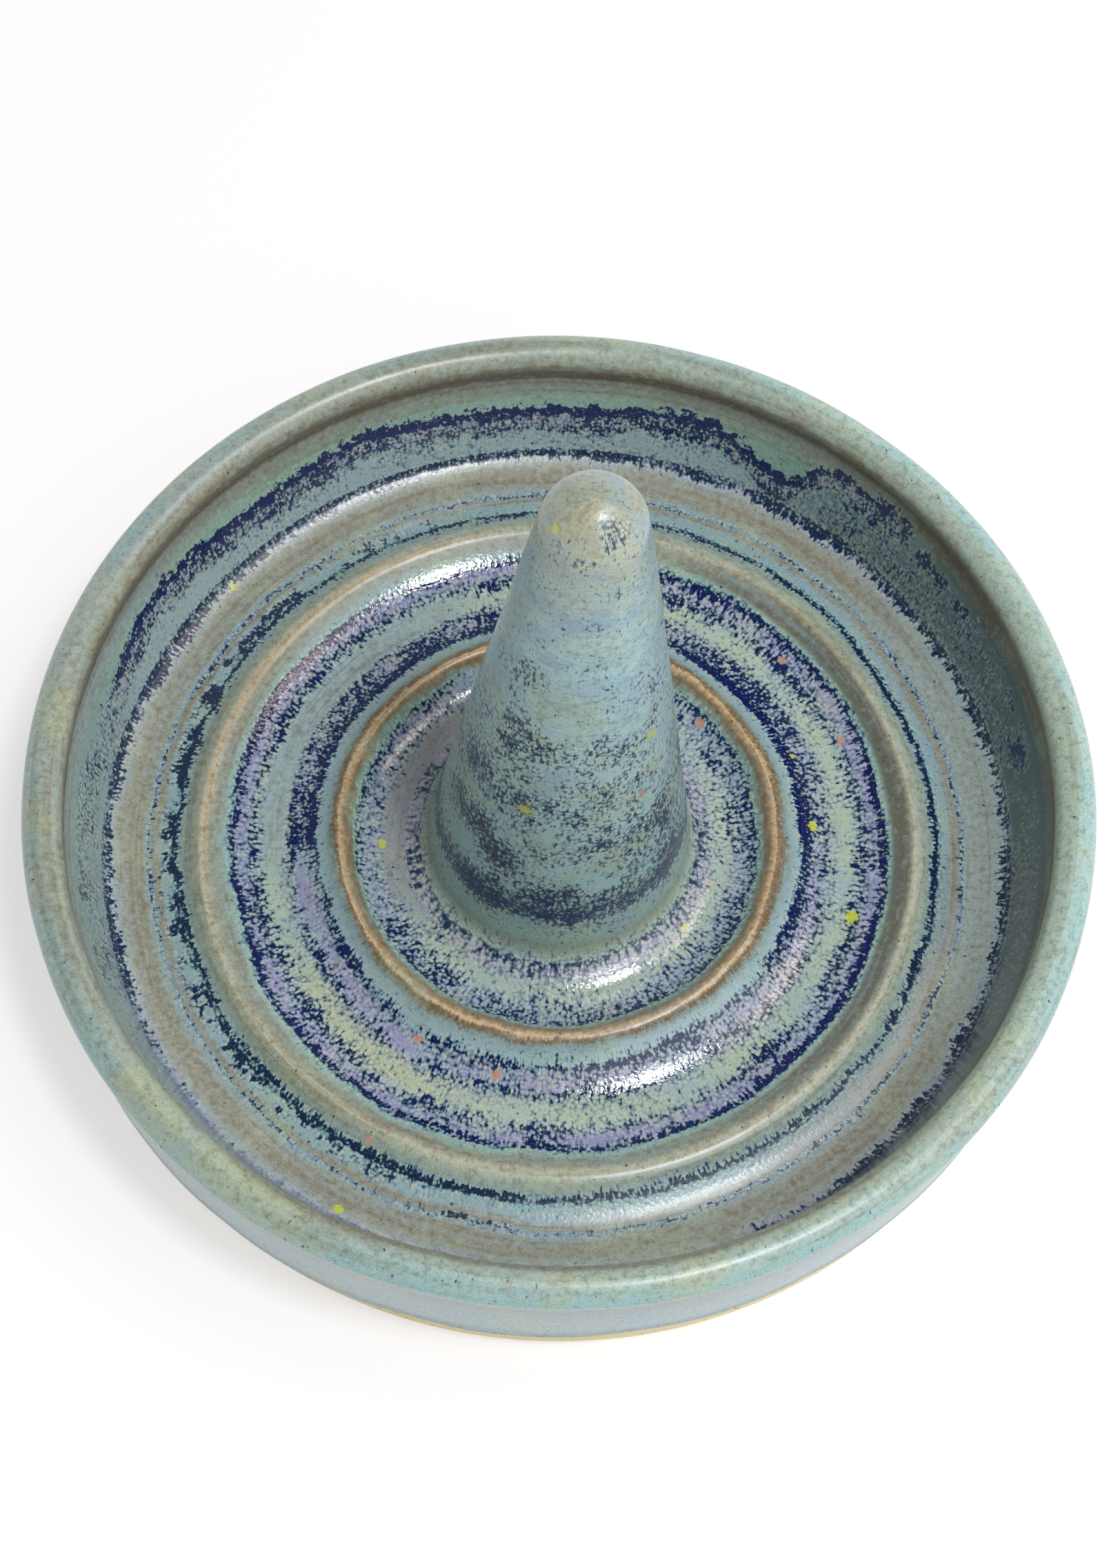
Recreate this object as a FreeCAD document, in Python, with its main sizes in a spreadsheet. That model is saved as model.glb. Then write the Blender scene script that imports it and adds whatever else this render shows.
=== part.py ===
import FreeCAD, Part
import math
import os
import Sketcher

# A hand-thrown stoneware ring dish: a low round dish with a rolled rim, finger troughs thrown in
# its floor, and a cone in the middle that rings are dropped over. Millimetres, +Z up, the origin
# in the middle of the foot, on the table. The front of the dish is towards -Y.

doc = FreeCAD.newDocument("ring_dish")

# Driving dimensions, of the fired clay unless they name the glaze. Widths run outwards from the
# cone to the rim, and rises and depths are measured from the flat of the floor under the cone.
sizes = doc.addObject("Spreadsheet::Sheet", "Sizes")
DRIVING = {
    # cone
    "cone_base_radius": 13.3,
    "cone_height": 69.8,
    "cone_tip_radius": 4.5,
    "cone_flank_sweep": 900.0,
    "cone_lean": 1.7,
    # slip and coil that hold the cone
    "slip_thickness": 0.6,
    "slip_margin": 0.2,
    "coil_width": 2.9,
    "coil_edge": 0.12,
    "coil_cove": 3.7,
    # floor, from the cone outwards: flat seat, trough, fine ring, trough, ridge, trough
    "floor_height": 7.2,
    "seat_margin": 3.1,
    "inner_trough_width": 6.6,
    "inner_trough_depth": 0.5,
    "ring_rise": 2.55,
    "ring_softening": 0.5,
    "main_trough_width": 14.7,
    "main_trough_depth": 0.9,
    "ridge_rise": 1.6,
    "ridge_softening": 1.5,
    "outer_trough_width": 10.6,
    "outer_trough_depth": 0.8,
    # wall and rolled rim
    "wall_foot_rise": 0.2,
    "wall_foot_cove": 1.6,
    "wall_slope": 4.6,
    "wall_height": 12.8,
    "rim_bead": 1.6,
    "rim_overhang_inside": 0.4,
    "rim_overhang_outside": 0.5,
    "neck_softening": 1.0,
    # foot
    "foot_inset": 1.4,
    "foot_bevel": 0.7,
    "foot_ring_width": 6.5,
    "recess_depth": 1.3,
    # glaze
    "glaze_thickness": 0.5,
    "glaze_line_height": 3.4,
    "glaze_line_tilt": 1.6,
    "glaze_line_bearing": 315.0,
}
for row, (name, value) in enumerate(DRIVING.items(), start=1):
    sizes.set(f"A{row}", name)
    sizes.set(f"B{row}", str(value))
    sizes.setAlias(f"B{row}", name)
doc.recompute()


def size(name):
    return float(sizes.get(name))


COIL_RADIUS = "(Sizes.cone_base_radius + Sizes.coil_width)"
WALL_FOOT_RADIUS = (
    "(Sizes.cone_base_radius + Sizes.seat_margin + Sizes.inner_trough_width"
    " + Sizes.main_trough_width + Sizes.outer_trough_width)"
)
RIM_RADIUS = f"({WALL_FOOT_RADIUS} + Sizes.wall_slope)"
NECK_INSIDE = "(Sizes.rim_bead - Sizes.rim_overhang_inside)"
NECK_OUTSIDE = "(Sizes.rim_bead - Sizes.rim_overhang_outside)"
FOOT_RADIUS = f"({RIM_RADIUS} + {NECK_OUTSIDE} - Sizes.foot_inset)"


# Every section lies in the half plane through the axis: x is the radius, y the height.
ORIGIN = (-1, 1)
START, END, CENTRE = range(1, 4)


def new_section(body, name):
    sketch = body.newObject("Sketcher::SketchObject", name)
    plane = next(plane for plane in body.Origin.OriginFeatures if plane.Role == "XZ_Plane")
    sketch.AttachmentSupport = [(plane, "")]
    sketch.MapMode = "FlatFace"
    return sketch


def at(radius, height):
    return FreeCAD.Vector(radius, height, 0)


def line(first, second):
    return Part.LineSegment(first, second)


def arc(centre, first, second):
    """The arc from the first point to the second, anticlockwise about its centre."""
    spokes = [place.sub(centre) for place in (first, second)]
    circle = Part.Circle(centre, FreeCAD.Vector(0, 0, 1), spokes[0].Length)
    return Part.ArcOfCircle(circle, *(math.atan2(spoke.y, spoke.x) for spoke in spokes))


def join_in_turn(sketch, *ends):
    for first, second in zip(ends[::2], ends[1::2], strict=True):
        sketch.addConstraint(Sketcher.Constraint("Coincident", *first, *second))


def bind(sketch, name, constraint, expression):
    index = sketch.addConstraint(constraint)
    sketch.renameConstraint(index, name)
    sketch.setExpression(f"Constraints.{name}", expression)


def bind_width(sketch, name, inner, outer, expression):
    here = sketch.getPoint(*outer).x - sketch.getPoint(*inner).x
    bind(sketch, name, Sketcher.Constraint("DistanceX", *inner, *outer, here), expression)


def bind_height(sketch, name, place, expression):
    here = sketch.getPoint(*place).y
    bind(sketch, name, Sketcher.Constraint("DistanceY", *ORIGIN, *place, here), expression)


def bind_radius(sketch, name, curve, expression):
    here = sketch.Geometry[curve].Radius
    bind(sketch, name, Sketcher.Constraint("Radius", curve, here), expression)


def turn(body, sketch, name, kind="PartDesign::Revolution"):
    feature = body.newObject(kind, name)
    feature.Profile = sketch
    feature.ReferenceAxis = (sketch, ["V_Axis"])
    feature.Angle = 360
    doc.recompute()
    return feature


def soften(body, base, name, places, softening, kind="PartDesign::Fillet"):
    """Rounds or bevels the turned edges that lie nearest to the given places of the section."""
    edges = {
        f"Edge{number}": at(edge.Curve.Radius, edge.Curve.Center.z)
        for number, edge in enumerate(base.Shape.Edges, start=1)
        if isinstance(edge.Curve, Part.Circle)
    }
    feature = body.newObject(kind, name)
    feature.Base = (base, [min(edges, key=lambda edge: edges[edge].distanceToPoint(p)) for p in places])
    measure = "Radius" if kind == "PartDesign::Fillet" else "Size"
    feature.setExpression(measure, f"Sizes.{softening}")
    doc.recompute()
    return feature


def trough_centre(inner, outer, lowest):
    """The centre of the arc through two places whose lowest point has the given height."""
    inner_rise = inner.y - lowest
    outer_rise = outer.y - lowest
    width = outer.x - inner.x
    share = math.sqrt(inner_rise * outer_rise)
    if math.isclose(inner_rise, outer_rise):
        across = width / 2
    else:
        reach = math.sqrt(width**2 + (inner_rise - outer_rise) ** 2)
        across = (inner_rise * width - share * reach) / (inner_rise - outer_rise)
    sweep = (across**2 / inner_rise + inner_rise) / 2
    return at(inner.x + across, lowest + sweep)


# Dish: one profile turned about the axis, as it was thrown, with a recess turned under the foot.
dish_body = doc.addObject("PartDesign::Body", "dish_body")
profile = new_section(dish_body, "dish_profile")

floor = size("floor_height")
seat_edge = at(size("cone_base_radius") + size("seat_margin"), floor)
ring = at(seat_edge.x + size("inner_trough_width"), floor + size("ring_rise"))
ridge = at(ring.x + size("main_trough_width"), floor + size("ridge_rise"))
wall_foot = at(ridge.x + size("outer_trough_width"), floor + size("wall_foot_rise"))
rim_centre = at(wall_foot.x + size("wall_slope"), floor + size("wall_height"))
inside_reach = size("rim_bead") - size("rim_overhang_inside")
outside_reach = size("rim_bead") - size("rim_overhang_outside")
neck_inside = rim_centre.add(at(-inside_reach, -math.sqrt(size("rim_bead") ** 2 - inside_reach**2)))
neck_outside = rim_centre.add(at(outside_reach, -math.sqrt(size("rim_bead") ** 2 - outside_reach**2)))
foot_edge = at(neck_outside.x - size("foot_inset"), 0)
inner_centre = trough_centre(seat_edge, ring, floor - size("inner_trough_depth"))
main_centre = trough_centre(ring, ridge, floor - size("main_trough_depth"))
outer_centre = trough_centre(ridge, wall_foot, floor - size("outer_trough_depth"))

SEAT, INNER, MAIN, OUTER, WALL_IN, RIM, WALL_OUT, FOOT, AXIS = range(9)
profile.addGeometry(
    [
        line(at(0, floor), seat_edge),
        arc(inner_centre, seat_edge, ring),
        arc(main_centre, ring, ridge),
        arc(outer_centre, ridge, wall_foot),
        line(wall_foot, neck_inside),
        arc(rim_centre, neck_outside, neck_inside),
        line(neck_outside, foot_edge),
        line(foot_edge, at(0, 0)),
        line(at(0, 0), at(0, floor)),
    ]
)
join_in_turn(profile, (SEAT, END), (INNER, START), (INNER, END), (MAIN, START))
join_in_turn(profile, (MAIN, END), (OUTER, START))
join_in_turn(profile, (OUTER, END), (WALL_IN, START), (WALL_IN, END), (RIM, END))
join_in_turn(profile, (RIM, START), (WALL_OUT, START), (WALL_OUT, END), (FOOT, START))
join_in_turn(profile, (FOOT, END), ORIGIN, (AXIS, START), ORIGIN, (AXIS, END), (SEAT, START))
for level in (SEAT, FOOT):
    profile.addConstraint(Sketcher.Constraint("Horizontal", level))
profile.addConstraint(Sketcher.Constraint("Vertical", AXIS))
bind_height(profile, "floor", (SEAT, START), "Sizes.floor_height")
bind_width(profile, "seat", (SEAT, START), (SEAT, END), "Sizes.cone_base_radius + Sizes.seat_margin")
bind_width(profile, "inner_trough", (INNER, START), (INNER, END), "Sizes.inner_trough_width")
bind_height(profile, "ring", (INNER, END), "Sizes.floor_height + Sizes.ring_rise")
bind_width(profile, "main_trough", (MAIN, START), (MAIN, END), "Sizes.main_trough_width")
bind_height(profile, "ridge", (MAIN, END), "Sizes.floor_height + Sizes.ridge_rise")
bind_width(profile, "outer_trough", (OUTER, START), (OUTER, END), "Sizes.outer_trough_width")
bind_height(profile, "wall_foot", (OUTER, END), "Sizes.floor_height + Sizes.wall_foot_rise")
bind_width(profile, "wall_slope", (OUTER, END), (RIM, CENTRE), "Sizes.wall_slope")
bind_height(profile, "rim", (RIM, CENTRE), "Sizes.floor_height + Sizes.wall_height")
bind_radius(profile, "rim_bead", RIM, "Sizes.rim_bead")
bind_width(profile, "neck_inside", (RIM, END), (RIM, CENTRE), NECK_INSIDE)
bind_width(profile, "neck_outside", (RIM, CENTRE), (RIM, START), NECK_OUTSIDE)
bind_width(profile, "foot_inset", (WALL_OUT, END), (WALL_OUT, START), "Sizes.foot_inset")
for trough, name in ((INNER, "inner_trough"), (MAIN, "main_trough"), (OUTER, "outer_trough")):
    middle = profile.getPoint(trough, CENTRE)
    lowest = middle.sub(at(0, profile.Geometry[trough].Radius))
    plumb = profile.addGeometry(line(middle, lowest), True)
    join_in_turn(profile, (plumb, START), (trough, CENTRE))
    profile.addConstraint(Sketcher.Constraint("Vertical", plumb))
    profile.addConstraint(Sketcher.Constraint("PointOnObject", plumb, END, trough))
    bind_height(profile, f"{name}_lowest", (plumb, END), f"Sizes.floor_height - Sizes.{name}_depth")
thrown = turn(dish_body, profile, "dish_thrown")

recess = new_section(dish_body, "recess_profile")
recess_corner = at(foot_edge.x - size("foot_ring_width"), size("recess_depth"))
recess.addGeometry(
    [
        line(at(0, 0), at(recess_corner.x, 0)),
        line(at(recess_corner.x, 0), recess_corner),
        line(recess_corner, at(0, recess_corner.y)),
        line(at(0, recess_corner.y), at(0, 0)),
    ]
)
MOUTH, SIDE, ROOF, MIDDLE = range(4)
join_in_turn(recess, (MOUTH, START), ORIGIN, (MOUTH, END), (SIDE, START), (SIDE, END), (ROOF, START))
join_in_turn(recess, (ROOF, END), (MIDDLE, START), (MIDDLE, END), ORIGIN)
for level in (MOUTH, ROOF):
    recess.addConstraint(Sketcher.Constraint("Horizontal", level))
for upright in (SIDE, MIDDLE):
    recess.addConstraint(Sketcher.Constraint("Vertical", upright))
bind_height(recess, "depth", (SIDE, END), "Sizes.recess_depth")
bind_width(recess, "reach", ORIGIN, (MOUTH, END), f"{FOOT_RADIUS} - Sizes.foot_ring_width")
turned = turn(dish_body, recess, "foot_recess", "PartDesign::Groove")
if turned.Shape.Volume >= thrown.Shape.Volume:
    raise RuntimeError("the recess under the foot takes no clay away")

ridged = soften(dish_body, turned, "ridge_rounded", [ridge], "ridge_softening")
ringed = soften(dish_body, ridged, "ring_rounded", [ring], "ring_softening")
coved = soften(dish_body, ringed, "wall_foot_coved", [wall_foot], "wall_foot_cove")
necked = soften(dish_body, coved, "neck_rounded", [neck_inside, neck_outside], "neck_softening")
soften(dish_body, necked, "foot_bevelled", [foot_edge], "foot_bevel", "PartDesign::Chamfer")


# Cone: a profile with a slightly swelling flank and a round tip. It was set down a little askew, so
# it leans, and the slip under it is a wedge.
BARE = ("0", 0.0)
GLAZED = ("Sizes.glaze_thickness", size("glaze_thickness"))


def set_askew(piece, turned_over="0 deg"):
    """Puts a piece on the plane of the cone's base, which tips towards +X."""
    piece.Placement.Rotation.Axis = FreeCAD.Vector(0, 1, 0)
    piece.setExpression("Placement.Base.z", "Sizes.floor_height + Sizes.slip_thickness")
    piece.setExpression("Placement.Rotation.Angle", f"Sizes.cone_lean * 1 deg + {turned_over}")


def throw_cone(name, coat):
    """The cone, bare or with its coat of glaze on it."""
    skin, thickness = coat
    base_edge = at(size("cone_base_radius") + thickness, 0)
    tip = at(0, size("cone_height") + thickness)
    tip_radius = size("cone_tip_radius") + thickness
    flank_sweep = size("cone_flank_sweep") + thickness
    tip_centre = tip.sub(at(0, tip_radius))
    slant = tip_centre.sub(base_edge)
    along = (slant.Length**2 + flank_sweep**2 - (flank_sweep - tip_radius) ** 2) / (2 * slant.Length)
    across = math.sqrt(flank_sweep**2 - along**2)
    up = slant.normalize()
    flank_centre = base_edge.add(at(up.x * along - up.y * across, up.y * along + up.x * across))
    shoulder = tip_centre.add(tip_centre.sub(flank_centre).normalize().multiply(tip_radius))

    body = doc.addObject("PartDesign::Body", name)
    section = new_section(body, f"{name}_profile")
    base, flank, end, core = range(4)
    section.addGeometry(
        [
            line(at(0, 0), base_edge),
            arc(flank_centre, base_edge, shoulder),
            arc(tip_centre, shoulder, tip),
            line(tip, at(0, 0)),
        ]
    )
    join_in_turn(section, (base, START), ORIGIN, (base, END), (flank, START))
    join_in_turn(section, (end, END), (core, START), (core, END), ORIGIN)
    section.addConstraint(Sketcher.Constraint("Tangent", flank, END, end, START))
    section.addConstraint(Sketcher.Constraint("Horizontal", base))
    section.addConstraint(Sketcher.Constraint("Vertical", core))
    section.addConstraint(Sketcher.Constraint("PointOnObject", end, CENTRE, core))
    bind_width(section, "base", (base, START), (base, END), f"Sizes.cone_base_radius + {skin}")
    bind_radius(section, "flank", flank, f"Sizes.cone_flank_sweep + {skin}")
    bind_radius(section, "tip", end, f"Sizes.cone_tip_radius + {skin}")
    bind_height(section, "height", (end, END), f"Sizes.cone_height + {skin}")
    turn(body, section, f"{name}_thrown")
    set_askew(body)
    return body


def combine(kind, name, **parts):
    feature = doc.addObject(kind, name)
    for role, part in parts.items():
        setattr(feature, role, part)
    return feature


ring_cone = throw_cone("ring_cone", BARE)

# Slip: the wet clay that the cone is bedded in, squeezed out a little past its base.
slip_bed = doc.addObject("Part::Cylinder", "slip_bed")
slip_bed.setExpression("Radius", "Sizes.cone_base_radius + Sizes.slip_margin")
slip_bed.setExpression("Height", "Sizes.slip_thickness * 2")
set_askew(slip_bed, turned_over="180 deg")
joint_slip = combine("Part::Cut", "joint_slip", Base=slip_bed, Tool=dish_body)


# Coil: a roll of clay pressed into the corner round the cone and smoothed to a cove.
def coil_form(name, coat):
    """The coil as a full disc, bare or with its coat of glaze on it, before the cone takes its middle."""
    skin, thickness = coat
    radius = size("cone_base_radius") + size("coil_width")
    centre = at(radius, floor + size("coil_edge") + size("coil_cove"))
    cove = size("coil_cove") - thickness
    rim = centre.sub(at(0, cove))
    top = centre.sub(at(cove, 0))

    body = doc.addObject("PartDesign::Body", name)
    section = new_section(body, f"{name}_profile")
    under, edge, hollow, lid, core = range(5)
    section.addGeometry(
        [
            line(at(0, floor), at(radius, floor)),
            line(at(radius, floor), rim),
            arc(centre, top, rim),
            line(top, at(0, top.y)),
            line(at(0, top.y), at(0, floor)),
        ]
    )
    join_in_turn(section, (under, END), (edge, START), (edge, END), (hollow, END))
    join_in_turn(section, (hollow, START), (lid, START), (lid, END), (core, START))
    join_in_turn(section, (core, END), (under, START))
    section.addConstraint(Sketcher.Constraint("Vertical", *ORIGIN, under, START))
    for level in (under, lid):
        section.addConstraint(Sketcher.Constraint("Horizontal", level))
    for upright in (edge, core):
        section.addConstraint(Sketcher.Constraint("Vertical", upright))
    section.addConstraint(Sketcher.Constraint("Vertical", hollow, CENTRE, hollow, END))
    section.addConstraint(Sketcher.Constraint("Horizontal", hollow, CENTRE, hollow, START))
    bind_height(section, "floor", (under, START), "Sizes.floor_height")
    bind_width(section, "reach", (under, START), (under, END), COIL_RADIUS)
    bind_radius(section, "cove", hollow, f"Sizes.coil_cove - {skin}")
    edge_height = f"Sizes.floor_height + Sizes.coil_edge + {skin}"
    bind_height(section, "edge", (edge, END), edge_height)
    turn(body, section, f"{name}_pressed")
    return body


cone_in_slip = combine("Part::Fuse", "cone_in_slip", Base=ring_cone, Tool=joint_slip)
coil_disc = coil_form("coil_disc", BARE)
cone_coil = combine("Part::Cut", "cone_coil", Base=coil_disc, Tool=cone_in_slip)

# Glaze on the cone: one coat over the cone and the cove at its foot.
glazed_cone = throw_cone("glazed_cone", GLAZED)
glazed_coil = coil_form("glazed_coil", GLAZED)
glazed_middle = combine("Part::Fuse", "glazed_middle", Base=glazed_cone, Tool=glazed_coil)
bare_middle = combine("Part::MultiFuse", "bare_middle", Shapes=[ring_cone, joint_slip, cone_coil])
cone_glaze = combine("Part::Cut", "cone_glaze", Base=glazed_middle, Tool=bare_middle)

# Glaze on the dish: the liner is poured over the floor and up to the crest of the rim, and the
# outside is dipped, a little aslant, down to the glaze line above the bare foot.
glazed_dish = doc.addObject("Part::Offset", "glazed_dish")
glazed_dish.Source = dish_body
glazed_dish.setExpression("Value", "Sizes.glaze_thickness")
dish_coat = combine("Part::Cut", "dish_coat", Base=glazed_dish, Tool=dish_body)

inside = doc.addObject("PartDesign::Body", "inside_of_dish")
inside_section = new_section(inside, "inside_profile")
lower_corner = at(wall_foot.x + size("wall_slope") / 2, floor / 2)
above_rim = at(rim_centre.x, rim_centre.y + size("wall_height"))
inside_section.addGeometry(
    [
        line(at(0, lower_corner.y), lower_corner),
        line(lower_corner, rim_centre),
        line(rim_centre, above_rim),
        line(above_rim, at(0, above_rim.y)),
        line(at(0, above_rim.y), at(0, lower_corner.y)),
    ]
)
UNDER, IN_WALL, CREST, LID, CORE = range(5)
join_in_turn(inside_section, (UNDER, END), (IN_WALL, START), (IN_WALL, END), (CREST, START))
join_in_turn(inside_section, (CREST, END), (LID, START), (LID, END), (CORE, START))
join_in_turn(inside_section, (CORE, END), (UNDER, START))
inside_section.addConstraint(Sketcher.Constraint("Vertical", *ORIGIN, UNDER, START))
for level in (UNDER, LID):
    inside_section.addConstraint(Sketcher.Constraint("Horizontal", level))
for upright in (CREST, CORE):
    inside_section.addConstraint(Sketcher.Constraint("Vertical", upright))
wall_middle = f"{WALL_FOOT_RADIUS} + Sizes.wall_slope / 2"
bind_height(inside_section, "under_floor", (UNDER, START), "Sizes.floor_height / 2")
bind_width(inside_section, "in_wall", (UNDER, START), (UNDER, END), wall_middle)
bind_width(inside_section, "crest", (UNDER, START), (CREST, START), RIM_RADIUS)
bind_height(inside_section, "bead", (CREST, START), "Sizes.floor_height + Sizes.wall_height")
bind_height(inside_section, "lid", (CREST, END), "Sizes.floor_height + Sizes.wall_height * 2")
turn(inside, inside_section, "inside_turned")

under_coil = doc.addObject("Part::Cylinder", "under_coil")
under_coil.setExpression("Radius", COIL_RADIUS)
under_coil.setExpression("Height", "Sizes.floor_height * 2")
inside_coat = combine("Part::Common", "inside_coat", Base=dish_coat, Tool=inside)
liner_glaze = combine("Part::Cut", "liner_glaze", Base=inside_coat, Tool=under_coil)

below_line = doc.addObject("Part::Cylinder", "below_line")
below_line.setExpression("Radius", f"{RIM_RADIUS} + Sizes.rim_bead * 2")
below_line.setExpression("Height", "Sizes.floor_height * 2")
bearing = math.radians(size("glaze_line_bearing"))
below_line.Placement.Rotation.Axis = FreeCAD.Vector(math.sin(bearing), -math.cos(bearing), 0)
below_line.setExpression("Placement.Base.z", "Sizes.glaze_line_height")
below_line.setExpression("Placement.Rotation.Angle", "Sizes.glaze_line_tilt * 1 deg + 180 deg")
undipped = combine("Part::Fuse", "undipped", Base=inside, Tool=below_line)
outer_glaze = combine("Part::Cut", "outer_glaze", Base=dish_coat, Tool=undipped)

doc.recompute()
for piece in doc.Objects:
    if {"Invalid", "Error"} & set(piece.State):
        raise RuntimeError(f"{piece.Name} could not be made")

NODES = (dish_body, ring_cone, joint_slip, cone_coil, cone_glaze, liner_glaze, outer_glaze)
for node in NODES:
    if node.Shape.isNull() or not node.Shape.isValid() or len(node.Shape.Solids) != 1:
        raise RuntimeError(f"{node.Label} is not one sound solid")
os.makedirs("parts", exist_ok=True)
for node in NODES:
    node.Shape.exportStep(f"parts/{node.Label}.step")
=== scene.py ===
import cmath
import math

import bpy
from mathutils import Matrix, Vector


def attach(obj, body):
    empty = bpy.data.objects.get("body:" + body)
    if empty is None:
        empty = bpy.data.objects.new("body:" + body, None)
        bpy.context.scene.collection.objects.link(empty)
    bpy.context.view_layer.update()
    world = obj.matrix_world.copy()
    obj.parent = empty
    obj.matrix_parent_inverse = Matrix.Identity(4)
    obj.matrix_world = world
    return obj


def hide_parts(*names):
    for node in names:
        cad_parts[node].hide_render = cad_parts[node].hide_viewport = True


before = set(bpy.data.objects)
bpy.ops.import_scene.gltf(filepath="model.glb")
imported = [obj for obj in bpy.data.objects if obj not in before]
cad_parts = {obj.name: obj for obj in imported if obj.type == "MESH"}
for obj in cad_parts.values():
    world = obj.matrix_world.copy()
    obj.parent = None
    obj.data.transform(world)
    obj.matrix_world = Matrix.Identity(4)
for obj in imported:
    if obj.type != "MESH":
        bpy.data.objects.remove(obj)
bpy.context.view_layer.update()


# Dish
# The body is buff stoneware, thrown in one piece on the wheel. The foot and the shallow recess under
# it were turned with a loop tool when the clay was leather-hard, and stay bare.
MM = 0.001
TURN_STEPS = 240
STRAIGHT_STEP = 2.5
ARC_STEP = 0.8
ARC_TURN = math.radians(10)
WELD_GAP = 0.01
SMOOTH_ANGLE = math.radians(50)

CLAY_PALE = (255, 245, 200)
CLAY_WARM = (242, 216, 160)
CLAY_IRON = (104, 66, 40)

RIM_RADIUS = 52.9
FOOT_RADIUS = 52.6
FOOT_BEVEL = 0.7
RECESS_RADIUS = 46.1
RECESS_DEPTH = 1.3
TURNING_PITCH = 2.3
TURNING_DEPTH = 0.12


def trace(start, *runs):
    """Places along a section, as radius + height * 1j. Each run is an end, or an arc's middle and end."""
    places = [complex(*start)]
    for run in runs:
        first, last = places[-1], complex(*run[-1])
        if len(run) == 1:
            count = max(1, round(abs(last - first) / STRAIGHT_STEP))
            places += [first + (last - first) * n / count for n in range(1, count + 1)]
            continue
        middle = complex(*run[0])
        b, c = middle - first, last - first
        cross = b.real * c.imag - b.imag * c.real
        centre = first - 1j * (c * abs(b) ** 2 - b * abs(c) ** 2) / (2 * cross)
        spoke = first - centre
        sweep = cmath.phase((middle - centre) / spoke) + cmath.phase((last - centre) / (middle - centre))
        count = max(2, round(abs(sweep) * abs(spoke) / ARC_STEP), round(abs(sweep) / ARC_TURN))
        places += [centre + spoke * cmath.exp(1j * sweep * n / count) for n in range(1, count + 1)]
    return places


def throw(name, section):
    """Draws a section by extruding one point along it, and turns it about the dish's axis."""
    spots = [Vector((place.real, 0, place.imag)) * MM for place in section]
    bpy.ops.object.select_all(action="DESELECT")
    bpy.ops.mesh.primitive_plane_add(size=MM)
    piece = bpy.context.object
    piece.name = name
    bpy.ops.object.mode_set(mode="EDIT")
    bpy.ops.mesh.select_all(action="SELECT")
    bpy.ops.mesh.merge(type="CENTER")
    bpy.ops.transform.translate(value=spots[0])
    for here, there in zip(spots, spots[1:]):
        bpy.ops.mesh.extrude_region_move(TRANSFORM_OT_translate={"value": there - here})
    bpy.ops.mesh.select_all(action="SELECT")
    bpy.ops.mesh.spin(steps=TURN_STEPS, angle=math.tau, center=(0, 0, 0), axis=(0, 0, 1))
    bpy.ops.mesh.select_all(action="SELECT")
    bpy.ops.mesh.remove_doubles(threshold=WELD_GAP * MM)
    bpy.ops.mesh.normals_make_consistent(inside=False)
    bpy.ops.object.mode_set(mode="OBJECT")
    bpy.ops.object.shade_smooth_by_angle(angle=SMOOTH_ANGLE)
    return piece


class Signal:
    """A value, colour or vector on its way through a material. Arithmetic on values adds Math nodes."""

    def __init__(self, socket):
        self.socket = socket

    def node(self, kind, settings=None, sockets=None, output=0):
        """A node of any kind: its settings come first, then the values or links of its sockets."""
        tree = self.socket.id_data
        made = tree.nodes.new(kind)
        for name, value in (settings or {}).items():
            if name == "stops":
                elements = made.color_ramp.elements
                elements.remove(elements[1])
                elements[0].position, elements[0].color = value[0]
                for position, colour in value[1:]:
                    elements.new(position).color = colour
            else:
                setattr(made, name, value)
        for name, value in (sockets or {}).items():
            if isinstance(value, Signal):
                tree.links.new(value.socket, made.inputs[name])
            else:
                made.inputs[name].default_value = value
        return Signal(made.outputs[output])

    def math(self, operation, other=0.0):
        return self.node("ShaderNodeMath", {"operation": operation}, {0: self, 1: other})

    def vector(self, operation, other):
        return self.node("ShaderNodeVectorMath", {"operation": operation}, {0: self, 1: other})

    def reflected(self, operation, other):
        return self.node("ShaderNodeMath", {"operation": operation}, {0: other, 1: self})

    def __add__(self, other):
        return self.math("ADD", other)

    def __sub__(self, other):
        return self.math("SUBTRACT", other)

    def __mul__(self, other):
        return self.math("MULTIPLY", other)

    def __rsub__(self, other):
        return self.reflected("SUBTRACT", other)

    __radd__ = __add__
    __rmul__ = __mul__

    def between(self, low, high):
        """0 below the low value, 1 above the high one, eased between them."""
        sockets = {"Value": self, "From Min": low, "From Max": high}
        return self.node("ShaderNodeMapRange", {"interpolation_type": "SMOOTHSTEP"}, sockets)

    def mix(self, under, over):
        """Two colours mixed by this value: the second where it is 1."""
        return self.node("ShaderNodeMix", {"data_type": "RGBA"}, {0: self, 6: under, 7: over}, output=2)

    def noise(self, grain, detail=2.0, roughness=0.55):
        """Cloudy noise in lumps of about the grain's size: 0 on average, with a spread of 1."""
        sockets = {"Vector": self, "Scale": 1 / grain, "Detail": detail, "Roughness": roughness}
        return (self.node("ShaderNodeTexNoise", None, sockets) - 0.5) * 14


def paint(red, green, blue):
    """A colour as it shows on a screen, 0 to 255, as the linear colour that a material takes."""
    shares = (red / 255, green / 255, blue / 255)
    return (*(s / 12.92 if s < 0.04045 else ((s + 0.055) / 1.055) ** 2.4 for s in shares), 1.0)


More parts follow.
